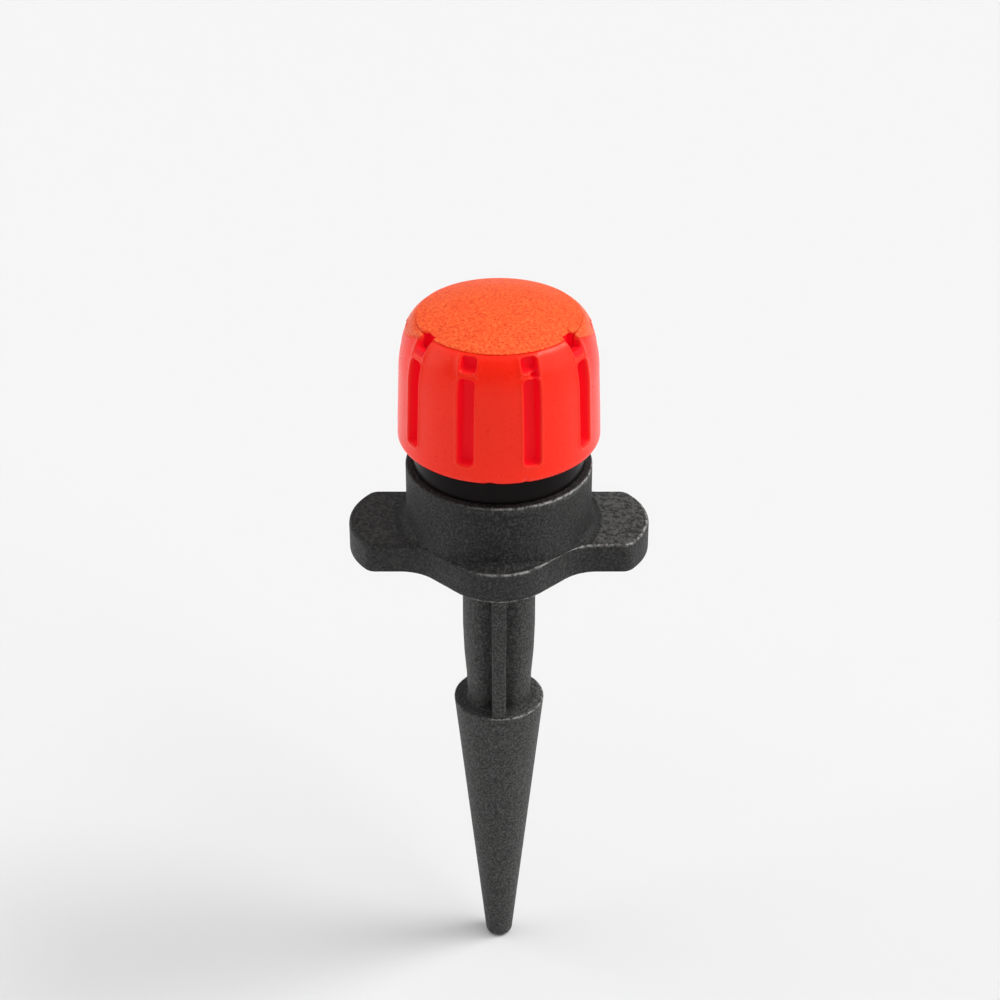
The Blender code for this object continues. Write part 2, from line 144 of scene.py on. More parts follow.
class EmitterStage(bpy.types.PropertyGroup):
    """Camera, light and floor."""

    lens: FloatProperty(
        name="Lens", description="Focal length in millimetres", default=90.0, min=10.0
    )
    distance: millimetres("Camera distance", 164.7, "Distance of the camera in front of the axis")
    height: millimetres("Camera height", 119.2, "Height of the camera over the barb's shoulder")
    dip: FloatProperty(
        name="Camera dip",
        description="Angle of the camera below the horizon",
        default=math.radians(31.47),
        subtype="ANGLE",
    )
    surround: FloatProperty(
        name="Surround", description="Light from the white surroundings", default=0.22, min=0.0
    )
    backdrop: FloatProperty(
        name="Backdrop", description="Brightness of the surroundings as seen", default=0.9, min=0.0
    )
    floor: colour("Floor", (0.80, 0.80, 0.80), "Colour of the seamless floor")


# ---- shapes


def mix(a, b, t):
    """The value a share t of the way from a to b."""
    return a + (b - a) * t


def clamp(t):
    """t held between 0 and 1."""
    return min(1.0, max(0.0, t))


def ease(t):
    """Smooth step from 0 to 1."""
    t = clamp(t)
    return t * t * (3.0 - 2.0 * t)


def bump(x, centre, width):
    """Smooth hump of height 1."""
    return math.exp(-(((x - centre) / width) ** 2))


def steps_to(start, end, spacing):
    """Values from start up to but without end, no further apart than spacing."""
    count = max(1, math.ceil(abs(end - start) / spacing - 1e-9))
    return [mix(start, end, i / count) for i in range(count)]


def arc(centre, radii, start, end, steps):
    """Points on an arc or an elliptical arc. Angles are in degrees."""
    angles = [math.radians(mix(start, end, i / steps)) for i in range(steps + 1)]
    across, up = radii
    return [(centre[0] + across * math.cos(a), centre[1] + up * math.sin(a)) for a in angles]


def rounded(corners, closed, steps=4):
    """An outline from corners (radius, height, rounding), each rounded by an arc."""
    points = []
    last = len(corners) - 1
    for i, (x, y, radius) in enumerate(corners):
        here = Vector((x, y))
        if radius == 0.0 or (not closed and i in (0, last)):
            points.append((x, y))
            continue
        before = Vector(corners[i - 1][:2]) - here
        after = Vector(corners[(i + 1) % len(corners)][:2]) - here
        half = before.angle(after) / 2.0
        run = min(radius / math.tan(half), 0.48 * before.length, 0.48 * after.length)
        start = here + before.normalized() * run
        end = here + after.normalized() * run
        middle = before.normalized() + after.normalized()
        centre = here + middle.normalized() * (run / math.cos(half))
        length = (start - centre).length
        for step in range(steps + 1):
            spoke = (start - centre).slerp(end - centre, step / steps)
            points.append(tuple(centre + spoke.normalized() * length))
    return points


def with_rows(points, spacing, closed, support=0.06):
    """The same outline with rows added along its long stretches, close together at their ends."""
    out = []
    ends = points[1:] + points[:1] if closed else points[1:]
    for a, b in zip(points, ends):
        length = math.dist(a, b)
        shares = [0.0]
        if length > 4.0 * support:
            inner = support / length
            shares += steps_to(inner, 1.0 - inner, spacing / length) + [1.0 - inner]
        out += [(mix(a[0], b[0], t), mix(a[1], b[1], t)) for t in shares]
    if not closed:
        out.append(points[-1])
    return out


def path(corners, spacing, closed=False):
    """Rounded corners joined into an outline with rows."""
    return with_rows(rounded(corners, closed), spacing, closed)


def spun(outline, columns, closed):
    """A full turn of an outline. Each point keeps its row in the outline and its column."""
    shape = bmesh.new()
    row_of = shape.verts.layers.int.new("row")
    column_of = shape.verts.layers.int.new("column")
    ring = [shape.verts.new((max(r, 0.0), 0.0, z)) for r, z in outline]
    for row, vert in enumerate(ring):
        vert[row_of] = row
    links = list(zip(ring, ring[1:]))
    if closed:
        links.append((ring[-1], ring[0]))
    edges = [shape.edges.new(pair) for pair in links]
    bmesh.ops.spin(
        shape,
        geom=ring + edges,
        cent=(0.0, 0.0, 0.0),
        axis=(0.0, 0.0, 1.0),
        angle=math.tau,
        steps=columns,
        use_merge=True,
        use_duplicate=False,
    )
    for vert in shape.verts:
        turn = math.atan2(vert.co.y, vert.co.x) / math.tau
        vert[column_of] = round(turn * columns) % columns
    return shape


def turned(outline, columns, closed, where, **marks):
    """A full turn of an outline, each point put at where(row, column), in millimetres.

    Each mark is a number that a material reads, worked out from a point's row and column.
    """
    shape = spun(outline, columns, closed)
    for name in marks:
        shape.verts.layers.float.new(name)
    numbers = {name: shape.verts.layers.float[name] for name in marks}
    row_of = shape.verts.layers.int["row"]
    column_of = shape.verts.layers.int["column"]
    for vert in shape.verts:
        spot = vert[row_of], vert[column_of]
        vert.co = where(*spot)
        for name, value in marks.items():
            vert[numbers[name]] = value(*spot)
    return shape


def around(degrees, radius, height):
    """A point at an angle from the front, -Y, towards +X."""
    turn = math.radians(degrees)
    return Vector((radius * math.sin(turn), -radius * math.cos(turn), height))


def even_angles(columns):
    """Evenly spaced angles of a full turn, in degrees."""
    return [360.0 * i / columns for i in range(columns)]


def finish_piece(name, shape, material, body, slot, *nodes):
    """Turn a shape in millimetres into an object that rides on a body and stands for its parts."""
    bmesh.ops.remove_doubles(shape, verts=shape.verts, dist=0.0004)
    bmesh.ops.dissolve_degenerate(shape, edges=shape.edges, dist=0.0002)
    bmesh.ops.recalc_face_normals(shape, faces=shape.faces)
    bmesh.ops.scale(shape, vec=(MM, MM, MM), verts=shape.verts)
    for face in shape.faces:
        face.smooth = True
    mesh = bpy.data.meshes.new(name)
    shape.to_mesh(mesh)
    shape.free()
    mesh.materials.append(material)
    piece = bpy.data.objects.new(name, mesh)
    bpy.context.scene.collection.objects.link(piece)
    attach(piece, body)
    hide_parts(*nodes)
    return piece


# ---- cap


# Angles of the outlets from the front. The web under the outlet at SHORT_WEB covers half its
# width, the outlets at NOTCHED cut into the crown's rim, and those in POCKET_ROOFS are closed
# pockets with roofs at these heights.
OUTLETS = sorted(side * angle for angle in (19.0, 57.0, 93.0, 128.0, 162.0) for side in (-1, 1))
SHORT_WEB = 19.0
NOTCHED = 57.0
POCKET_ROOFS = {19.0: 34.17, 93.0: 33.75}
POCKET_RADIUS = 6.14
POCKET_DROP = 0.42
SHOULDER_FOOT = CAP_BOTTOM + 5.65
SHOULDER_RADII = (1.674, 4.451)
SHOULDER_CENTRE = 5.836
SEAM_RADIUS = 6.1
SEAM_HEIGHT = 34.34
STEP_HEIGHT = CAP_BOTTOM + 9.05
STEP_RADIUS = 5.6
BORE_RADIUS = 6.9
THREAD_ROOT = 6.05
THREAD_DEPTH = 0.6
THREAD_LEAD = 1.5
SLOT_STOPS = (0.0, 0.15, 0.29, 0.39, 0.46, 0.51, 0.55, 0.59, 0.63, 0.67, 0.71, 0.76, 0.83, 0.95)


def cap_columns():
    """Angles of the cap's columns: close together at the flutes' sides, wide on the panels."""
    radius = CAP_RADIUS - 0.35
    across = [-s for s in SLOT_STOPS[:0:-1]] + list(SLOT_STOPS)
    angles = []
    for i, outlet in enumerate(OUTLETS):
        near = [outlet + math.degrees(math.asin(s / radius)) for s in across]
        after = OUTLETS[i + 1] if i + 1 < len(OUTLETS) else OUTLETS[0] + 360.0
        next_start = after - math.degrees(math.asin(SLOT_STOPS[-1] / radius))
        angles += near[:-1] + steps_to(near[-1], next_start, 3.6)
    return angles


def nearest_outlet(degrees, radius):
    """The outlet nearest to an angle, and the distance across from its middle."""
    gaps = [((degrees - outlet + 180.0) % 360.0 - 180.0, outlet) for outlet in OUTLETS]
    gap, outlet = min(gaps, key=lambda pair: abs(pair[0]))
    return outlet, radius * math.sin(math.radians(gap))


def skirt_radius(height):
    """Outer radius of the plain skirt: a slight taper, then an elliptical shoulder."""
    if height <= SHOULDER_FOOT:
        foot = CAP_BOTTOM + 0.4
        top = SHOULDER_CENTRE + SHOULDER_RADII[0]
        return mix(CAP_RADIUS, top, clamp((height - foot) / (SHOULDER_FOOT - foot)))
    rise = min(1.0, (height - SHOULDER_FOOT) / SHOULDER_RADII[1])
    return SHOULDER_CENTRE + SHOULDER_RADII[0] * math.sqrt(1.0 - rise * rise)


def saddle(degrees, height):
    """1 where the crown's grained skin runs down over the skirt's sides, 0 below its edge."""
    side = abs((degrees + 180.0) % 360.0 - 180.0) - 90.0
    edge = SEAM_HEIGHT + 0.06 - 1.25 * bump(side, 0.0, 24.0)
    return ease((height - edge) / 0.06)


def slot_distance(across, height, low_end, high_end, half, corner):
    """Distance to the edge of an upright slot with rounded corners, below 0 inside it."""
    x = abs(across) - half + corner
    y = abs(height - (low_end + high_end) / 2.0) - (high_end - low_end) / 2.0 + corner
    return math.hypot(max(x, 0.0), max(y, 0.0)) + min(max(x, y), 0.0) - corner


def thread_height(degrees, height, start, turns):
    """How far a right-handed thread of trapezoid section stands up here, from 0 to 1."""
    best = 0.0
    for lap in range(math.ceil(turns) + 1):
        turn = ((degrees - 90.0) % 360.0) / 360.0 + lap
        if turn > turns:
            continue
        away = abs(height - start - THREAD_LEAD * turn)
        fade = ease(turn / 0.08) * ease((turns - turn) / 0.08)
        best = max(best, clamp((0.42 - away) / 0.2) * fade)
    return best


def skirt_outline():
    """Closed section of the skirt. The first rows run down the outside from the seam."""
    stretches = (
        (SEAM_HEIGHT, 33.45, 0.05),
        (33.45, 32.3, 0.045),
        (32.3, CAP_BOTTOM + 2.4, 0.3),
        (CAP_BOTTOM + 2.4, 25.45, 0.06),
        (25.45, CAP_BOTTOM + 0.4, 0.2),
    )
    outside = [z for stretch in stretches for z in steps_to(*stretch)]
    points = [(skirt_radius(z), z) for z in outside]
    points += arc((CAP_RADIUS - 0.4, CAP_BOTTOM + 0.4), (0.4, 0.4), 0.0, -90.0, 6)
    inside = [
        (BORE_RADIUS, CAP_BOTTOM, 0.12),
        (BORE_RADIUS, CAP_BOTTOM + 1.3, 0.1),
        (THREAD_ROOT, CAP_BOTTOM + 1.5, 0.1),
    ]
    points += path(inside, 0.5)
    points += [(THREAD_ROOT, z) for z in steps_to(CAP_BOTTOM + 1.6, 31.2, 0.075)]
    inner_top = [
        (THREAD_ROOT, 31.2, 0.0),
        (THREAD_ROOT, 32.1, 0.1),
        (STEP_RADIUS, 32.3, 0.1),
        (STEP_RADIUS, STEP_HEIGHT, 0.1),
        (SEAM_RADIUS - 0.03, STEP_HEIGHT, 0.0),
        (SEAM_RADIUS - 0.03, SEAM_HEIGHT - 0.05, 0.0),
    ]
    points += path(inner_top, 0.5)
    return points


def make_skirt(sizes, colours):
    """Skirt with ten flutes, the outlets' notches in its shoulder, and the thread inside."""
    outline = skirt_outline()
    angles = cap_columns()
    half = sizes.flute_half / MM
    flute_low = CAP_BOTTOM + sizes.flute_low / MM
    flute_high = CAP_BOTTOM + sizes.flute_high / MM
    sill = CAP_BOTTOM + sizes.sill / MM
    pocket_low = sill - POCKET_DROP
    lip = sizes.lip / MM
    outer_rows = next(i for i, (r, z) in enumerate(outline) if r < CAP_RADIUS - 0.3 and z < 24.5)

    def groove_floor(z):
        return mix(6.93, 6.4, clamp((z - flute_low) / (flute_high - flute_low)))

    def flute_edge(across, z):
        return slot_distance(across, z, flute_low, flute_high, half, 0.4)

    def window_edge(outlet, across, z):
        roof = POCKET_ROOFS.get(abs(outlet), SEAM_HEIGHT + 2.0)
        return slot_distance(across, z, pocket_low, roof, half - 0.02, 0.3)

    def web_depth(outlet, across, r, z):
        middle = (flute_high + pocket_low) / 2.0
        web = 0.02 + 0.15 * ((z - middle) / 0.3) ** 2
        if outlet == SHORT_WEB:
            web = mix(web, r - 6.45, ease((across + 0.05) / 0.2))
        within = ease((z - flute_high + 0.02) / 0.12) * ease((pocket_low + 0.06 - z) / 0.12)
        return web * ease((half - abs(across)) / 0.3) * within

    def outer_point(degrees, r, z):
        outlet, across = nearest_outlet(degrees, r)
        edge = flute_edge(across, z)
        hollow = groove_floor(z) + 0.10 * (across / half) ** 2
        depth = (r - hollow) * ease(-edge / 0.2)
        depth = max(depth, web_depth(outlet, across, r, z))
        window = window_edge(outlet, across, z)
        proud = 0.3 if abs(outlet) > 90.0 else 1.0
        throat = ease((z - flute_high) / 0.25) * ease((SEAM_HEIGHT - z) / 0.1)
        rim = mix(bump(edge, 0.09, 0.08), 1.3 * bump(abs(across), half + 0.06, 0.08), throat)
        rim = lip * proud * max(rim, 1.2 * bump(window, 0.07, 0.07))
        nick = 0.22 * bump(degrees, -4.5, 2.0) * bump(z, CAP_BOTTOM, 0.35)
        nick += 0.12 * bump(degrees, 15.0, 1.3) * bump(z, CAP_BOTTOM + 0.2, 0.3)
        rim += 0.075 * saddle(degrees, z)
        if abs(outlet) in POCKET_ROOFS:
            depth = max(depth, (r - POCKET_RADIUS) * ease(-window / 0.13))
        elif z > sill:
            notch = ease((half - abs(across)) / 0.18)
            slope = 0.18 * clamp((skirt_radius(sill) - r) / 0.75)
            z = mix(z, sill - slope + 0.02 * (z - sill), notch)
        return around(degrees, r - depth + rim - nick, z)

    def inner_point(degrees, r, z):
        outlet, across = nearest_outlet(degrees, r)
        if z > STEP_HEIGHT + 0.01 and abs(outlet) not in POCKET_ROOFS:
            notch = ease((half - abs(across)) / 0.18)
            z = mix(z, STEP_HEIGHT + 0.02 * (z - STEP_HEIGHT), notch)
        elif abs(r - THREAD_ROOT) < 0.001:
            r -= THREAD_DEPTH * thread_height(degrees, z, CAP_BOTTOM + 2.65, 2.4)
        return around(degrees, r, z)

    def where(row, column):
        r, z = outline[row]
        make = outer_point if row < outer_rows else inner_point
        return make(angles[column], r, z)

    # Painted shade: 1 in the flutes, the outlets and the whole inside, where the colour turns deep
    # red.
    def groove_shade_mark(row, column):
        r, z = outline[row]
        if row >= outer_rows:
            return 1.0
        outlet, across = nearest_outlet(angles[column], r)
        edge = min(flute_edge(across, z), window_edge(outlet, across, z))
        if outlet == SHORT_WEB and flute_high - 0.3 < z < sill + 0.3:
            edge = min(edge, max(abs(across) - half, 0.1 - across))
        return ease(0.3 - edge / 0.12)

    def crown_mark(row, column):
        return saddle(angles[column], outline[row][1]) if row < outer_rows else 0.0

    shape = turned(outline, len(angles), True, where, groove=groove_shade_mark, crown=crown_mark)
    red = red_plastic("skirt_red_plastic", colours, colours.skirt, SKIRT_LOOK)
    return finish_piece("fluted_skirt", shape, red, "cap", "skirt_plastic", "cap_skirt")


def crown_outline(dome_edge, dome_height):
    """Open section of the crown, from the dome's top over the rim, hub and needle socket."""
    rise = CROWN_TOP - dome_height
    sphere = (dome_edge**2 + rise**2) / (2.0 * rise)
    radii = steps_to(0.0, 4.4, 0.4) + steps_to(4.4, dome_edge, 0.1)
    points = [(r, CROWN_TOP - sphere + math.sqrt(sphere**2 - r * r)) for r in radii]
    underside = CAP_BOTTOM + 9.3
    rim_foot = STEP_HEIGHT + 0.06
    groove = (27.25, 28.25)
    below = [
        (dome_edge, dome_height, 0.0),
        (dome_edge + 0.02, dome_height - 0.03, 0.0),
        (dome_edge, SEAM_HEIGHT + 0.01, 0.02),
        (SEAM_RADIUS - 0.05, SEAM_HEIGHT - 0.02, 0.02),
        (SEAM_RADIUS - 0.05, rim_foot, 0.06),
        (5.65, rim_foot, 0.06),
        (5.4, underside, 0.1),
        (3.25, underside, 0.15),
        (3.25, groove[1], 0.05),
        (2.6, groove[1], 0.05),
        (2.6, groove[0], 0.05),
        (3.25, groove[0], 0.05),
        (3.25, HUB_BOTTOM, 0.15),
        (2.1, HUB_BOTTOM, 0.08),
        (2.1, underside, 0.12),
        (1.02, underside, 0.05),
        (1.02, high("metering_needle") + 0.02, 0.0),
        (0.0, high("metering_needle") + 0.02, 0.0),
    ]
    return points + path(below, 0.4)


def open_ports(shape):
    """Four ports through the hub's wall, under the crown: opposite faces are cut and joined."""
    low_end, high_end = CAP_BOTTOM + 7.3, CAP_BOTTOM + 8.9
    for port in (0.0, 90.0, 180.0, 270.0):
        doomed = []
        for face in shape.faces:
            middle = face.calc_center_median()
            turn = math.degrees(math.atan2(middle.x, -middle.y))
            across = math.sin(math.radians(turn - port)) * 3.25
            facing = math.cos(math.radians(turn - port)) > 0.0
            inside = low_end < middle.z < high_end and 1.9 < middle.xy.length < 3.4
            if inside and facing and abs(across) < 0.65:
                doomed.append(face)
        rims = [e for f in doomed for e in f.edges]
        rims = [e for e in set(rims) if sum(f in doomed for f in e.link_faces) == 1]
        bmesh.ops.delete(shape, geom=doomed, context="FACES_ONLY")
        rims = [e for e in rims if e.is_valid]
        bmesh.ops.bridge_loops(shape, edges=rims)


def make_crown(sizes, colours):
    """Shallow dome with a crisp edge, notched over the outlets, and the ported hub below it."""
    outline = crown_outline(SEAM_RADIUS + 0.05, SEAM_HEIGHT + 0.08)
    angles = cap_columns()
    half = sizes.flute_half / MM
    rim_end = next(i for i, (r, z) in enumerate(outline) if r < 5.5 and z < SEAM_HEIGHT)

    def rim_pull(outlet, r, z):
        """How far the rim draws back over an outlet."""
        if abs(outlet) == NOTCHED:
            return 0.42 * ease((r - 4.6) / 1.5)
        if abs(outlet) in POCKET_ROOFS or z > SEAM_HEIGHT - 0.1:
            return 0.0
        return 0.3

    def where(row, column):
        r, z = outline[row]
        degrees = angles[column]
        if row > rim_end or r < 4.2:
            return around(degrees, r, z)
        outlet, across = nearest_outlet(degrees, r)
        sides = ease((half + 0.02 - abs(across)) / 0.2)
        raised = 0.0
        if abs(outlet) == NOTCHED and z > SEAM_HEIGHT:
            raised = 0.05 * bump(abs(across), half + 0.08, 0.09) * ease((r - 5.5) / 0.5)
        return around(degrees, r - rim_pull(outlet, r, z) * sides, z + raised)

    # Painted shade: the crown's rim below the seam over the outlets turns deep red.
    def groove_shade_mark(row, column):
        r, z = outline[row]
        across = nearest_outlet(angles[column], r)[1]
        return ease((SEAM_HEIGHT + 0.03 - z) / 0.05) * ease((half + 0.15 - abs(across)) / 0.1)

    shape = turned(outline, len(angles), False, where, groove=groove_shade_mark)
    bmesh.ops.remove_doubles(shape, verts=shape.verts, dist=0.0004)
    open_ports(shape)
    red = red_plastic("crown_red_plastic", colours, colours.crown, CROWN_LOOK)
    return finish_piece("domed_crown", shape, red, "cap", "crown_plastic", "cap_crown")


# ---- neck


def make_neck(colours):
    """Plug with its gasket groove, glossy band and threaded post with a bore."""
    root, crest = 5.15, 5.75
    outer = [
        (4.9, NECK_TOP, 0.12),
        (root, NECK_TOP - 0.35, 0.1),
        (root, 30.6, 0.0),
    ]
    points = path([(3.7, NECK_TOP, 0.0)] + outer, 0.4)[1:]
    points += [(root, z) for z in steps_to(30.55, 24.15, 0.06)]
    middle = [
        (root, 24.15, 0.0),
        (root, 24.0, 0.08),
        (BAND_RADIUS, 24.0, 0.14),
        (BAND_RADIUS, COLLAR_TOP + 0.02, 0.06),
        (5.6, COLLAR_TOP + 0.02, 0.05),
        (5.6, 21.05, 0.05),
        (4.7, 21.05, 0.05),
        (4.7, 19.95, 0.05),
        (5.6, 19.95, 0.05),
        (5.6, NECK_BOTTOM, 0.12),
        (1.6, NECK_BOTTOM, 0.08),
        (1.6, 20.6, 0.12),
        (3.7, 20.6, 0.15),
        (3.7, NECK_TOP, 0.1),
    ]
    points += path(middle, 0.45)
    angles = even_angles(192)

    def where(row, column):
        r, z = points[row]
        if abs(r - root) < 0.001:
            r += (crest - root) * thread_height(angles[column], z, 24.7, 3.4)
        return around(angles[column], r, z)

    shape = turned(points, len(angles), True, where)
    black = gloss_plastic("neck_black_plastic", colours.neck)
    return finish_piece("glossy_neck", shape, black, "base", "neck_plastic", "threaded_neck")


# ---- base


COLLAR_RADIUS = 7.15
FLANGE_TOP = FLANGE_BOTTOM + 2.4
WING_HALF = 4.08
WING_END = 5.75
WING_CORNER = 1.05
LOBE_RADIUS = 4.45
LOBE_CENTRE = 3.9
VALLEY_RADIUS = 3.5


def flange_quarter():
    """Outline of a quarter of the flange, from a wing's end, +X, to a lobe's crest, +Y."""
    slant = math.sqrt(0.5)
    end_x = WING_SPAN - WING_END
    inner = WING_HALF - WING_CORNER
    corner_x = end_x + math.sqrt((WING_END - WING_CORNER) ** 2 - inner**2)
    corner = math.degrees(math.atan2(inner, corner_x - end_x))
    crest = (LOBE_RADIUS * slant, LOBE_CENTRE + LOBE_RADIUS * slant)
    foot_y = WING_HALF + VALLEY_RADIUS * (1.0 - slant)
    foot = (crest[0] + crest[1] - foot_y, foot_y)
    valley = (foot[0] + VALLEY_RADIUS * slant, WING_HALF + VALLEY_RADIUS)
    points = arc((end_x, 0.0), (WING_END, WING_END), 0.0, corner, 9)
    points += arc((corner_x, inner), (WING_CORNER, WING_CORNER), corner, 90.0, 8)[1:]
    start = points[-1]
    points += [(x, WING_HALF) for x in steps_to(start[0], valley[0], 0.5)][1:]
    points += arc(valley, (VALLEY_RADIUS, VALLEY_RADIUS), -90.0, -135.0, 14)
    points += [(x, foot[0] + foot[1] - x) for x in steps_to(foot[0], crest[0], 0.4)][1:]
    points += arc((0.0, LOBE_CENTRE), (LOBE_RADIUS, LOBE_RADIUS), 45.0, 90.0, 14)
    return points


def flange_outline():
    """The whole outline with its outward normal at each point, as (point, normal) pairs."""
    quarter = flange_quarter()
    half = quarter + [(-x, y) for x, y in quarter[-2::-1]]
    whole = [Vector(p) for p in half + [(x, -y) for x, y in half[-2:0:-1]]]
    pairs = []
    for i, point in enumerate(whole):
        along = whole[(i + 1) % len(whole)] - whole[i - 1]
        pairs.append((point, Vector((along.y, -along.x)).normalized()))
    return pairs


def make_flange(sizes, colours):
    """Winged flange and collar in one skin: collar, fillet, ledge, rounded edge, underside."""
    rim = flange_outline()
    edge_round = sizes.edge_round / MM
    foot_fillet = sizes.foot_fillet / MM
    bottom_round = 0.1
    spokes = [point.normalized() for point, normal in rim]
    rooms = [max(0.05, point.length - COLLAR_RADIUS) for point, normal in rim]
    edges = [min(edge_round, 0.5 * room) for room in rooms]
    fillets = [min(foot_fillet, 0.7 * (room - edge)) for room, edge in zip(rooms, edges)]

    def circle(ring, c):
        return spokes[c] * ring[0], ring[1]

    def fillet(t, c):
        turn = t * math.pi / 2.0
        radius = COLLAR_RADIUS + fillets[c] * (1.0 - math.cos(turn))
        return spokes[c] * radius, FLANGE_TOP + fillets[c] * (1.0 - math.sin(turn))

    def ledge(t, c):
        point, normal = rim[c]
        inner = spokes[c] * (COLLAR_RADIUS + fillets[c])
        return inner.lerp(point - normal * edges[c], t), FLANGE_TOP

    def edge(t, c):
        point, normal = rim[c]
        turn = t * math.pi / 2.0
        inset = edges[c] * (1.0 - math.sin(turn))
        return point - normal * inset, FLANGE_TOP - edges[c] * (1.0 - math.cos(turn))

    def side(t, c):
        return rim[c][0], mix(FLANGE_TOP - edges[c], FLANGE_BOTTOM + bottom_round, t)

    def under(t, c):
        point, normal = rim[c]
        turn = t * math.pi / 2.0
        inset = bottom_round * (1.0 - math.cos(turn))
        return point - normal * inset, FLANGE_BOTTOM + bottom_round * (1.0 - math.sin(turn))

    def floor(t, c):
        point, normal = rim[c]
        return (point - normal * bottom_round).lerp(spokes[c] * 3.6, t), FLANGE_BOTTOM

    socket = [
        (5.9, 18.0, 0.0),
        (5.9, COLLAR_TOP, 0.08),
        (COLLAR_RADIUS, COLLAR_TOP, 0.16),
        (COLLAR_RADIUS, FLANGE_TOP + foot_fillet + 0.1, 0.0),
    ]
    bore = [
        (3.6, FLANGE_BOTTOM, 0.0),
        (2.72, FLANGE_BOTTOM, 0.1),
        (2.72, 17.6, 0.1),
        (5.9, 17.6, 0.12),
        (5.9, 18.0, 0.0),
    ]
    stretches = (
        (circle, path(socket, 0.5)),
        (fillet, [i / 6 for i in range(7)]),
        (ledge, (0.06, 0.2, 0.4, 0.6, 0.8, 0.94)),
        (edge, [i / 5 for i in range(6)]),
        (side, (0.03, 0.15, 0.35, 0.55, 0.75, 0.9, 0.97)),
        (under, [i / 4 for i in range(5)]),
        (floor, (0.02, 0.2, 0.45, 0.7, 0.9, 1.0)),
        (circle, path(bore, 0.5)[1:-1]),
    )
    rows = [(maker, value) for maker, values in stretches for value in values]
    first_row = {maker: [kind for kind, value in rows].index(maker) for maker, values in stretches}

    def place(row, column):
        maker, value = rows[row]
        return maker(value, column)

    def where(row, column):
        flat, z = place(row, column)
        return Vector((flat.x, flat.y, z))

    # Painted highlight, with some real wear: light lines along the collar's top rims, the flange's
    # upper edge and the front lobe's lower edge, strongest on the sides facing the lights at the
    # right and front; pale rubbed grains on both wing tops, brighter on the right wing as painted
    # sheen.
    def wear(row, column):
        spoke = spokes[column]
        facing = ease(0.1 + 0.9 * spoke.x - 0.45 * spoke.y)
        maker = rows[row][0]
        if maker is ledge:
            return (0.07 + 0.12 * ease(spoke.x)) * ease((abs(spoke.x) - 0.8) / 0.15)
        if maker is edge:
            return facing * bump(row, first_row[edge] + 1.5, 1.1)
        if maker is under:
            return 0.9 * ease(1.9 * (-0.55 - spoke.y)) * bump(row, first_row[under] + 1.0, 1.3)
        if 0 < row < first_row[fillet]:
            flat, z = place(row, column)
            outer = bump(flat.length, COLLAR_RADIUS, 0.07) * bump(z, COLLAR_TOP - 0.08, 0.1)
            inner = bump(flat.length, 5.95, 0.07) * bump(z, COLLAR_TOP, 0.08)
            return facing * max(outer, 0.5 * inner)
        return 0.0

    def shade(row, column):
        """Painted shade: 1 on the collar's middle, front and back, which is darkened and less
        mottled, 0 on the wings.
        """
        if not 0 < row < first_row[ledge]:
            return 0.0
        return ease(1.1 - 1.6 * abs(spokes[column].x))

    section = [(5.9, 18.0 + 0.001 * i) for i in range(len(rows))]
    shape = turned(section, len(rim), True, where, wear=wear, shade=shade)
    black = matte_plastic("base_black_plastic", colours.base)
    return finish_piece("winged_flange", shape, black, "base", "base_plastic", "wing_base")


def stem_radius(height):
    """Radius of the stem, slightly waisted towards the barb's shoulder."""
    stops = ((-1.0, 2.5), (0.0, 2.5), (2.3, 2.6), (4.5, 2.78), (7.0, 2.87), (20.0, 2.87))
    for (z0, r0), (z1, r1) in zip(stops, stops[1:]):
        if height <= z1:
            return mix(r0, r1, clamp((height - z0) / (z1 - z0)))
    return stops[-1][1]


def rib_section(half, face):
    """Points from a rib's middle over its edge and down its side, as (across, outward)."""
    corner = rounded([(0.0, face, 0.0), (half, face, 0.13), (half + 0.03, 2.5, 0.0)], False, 4)
    return with_rows(corner, 0.16, False, 0.05)


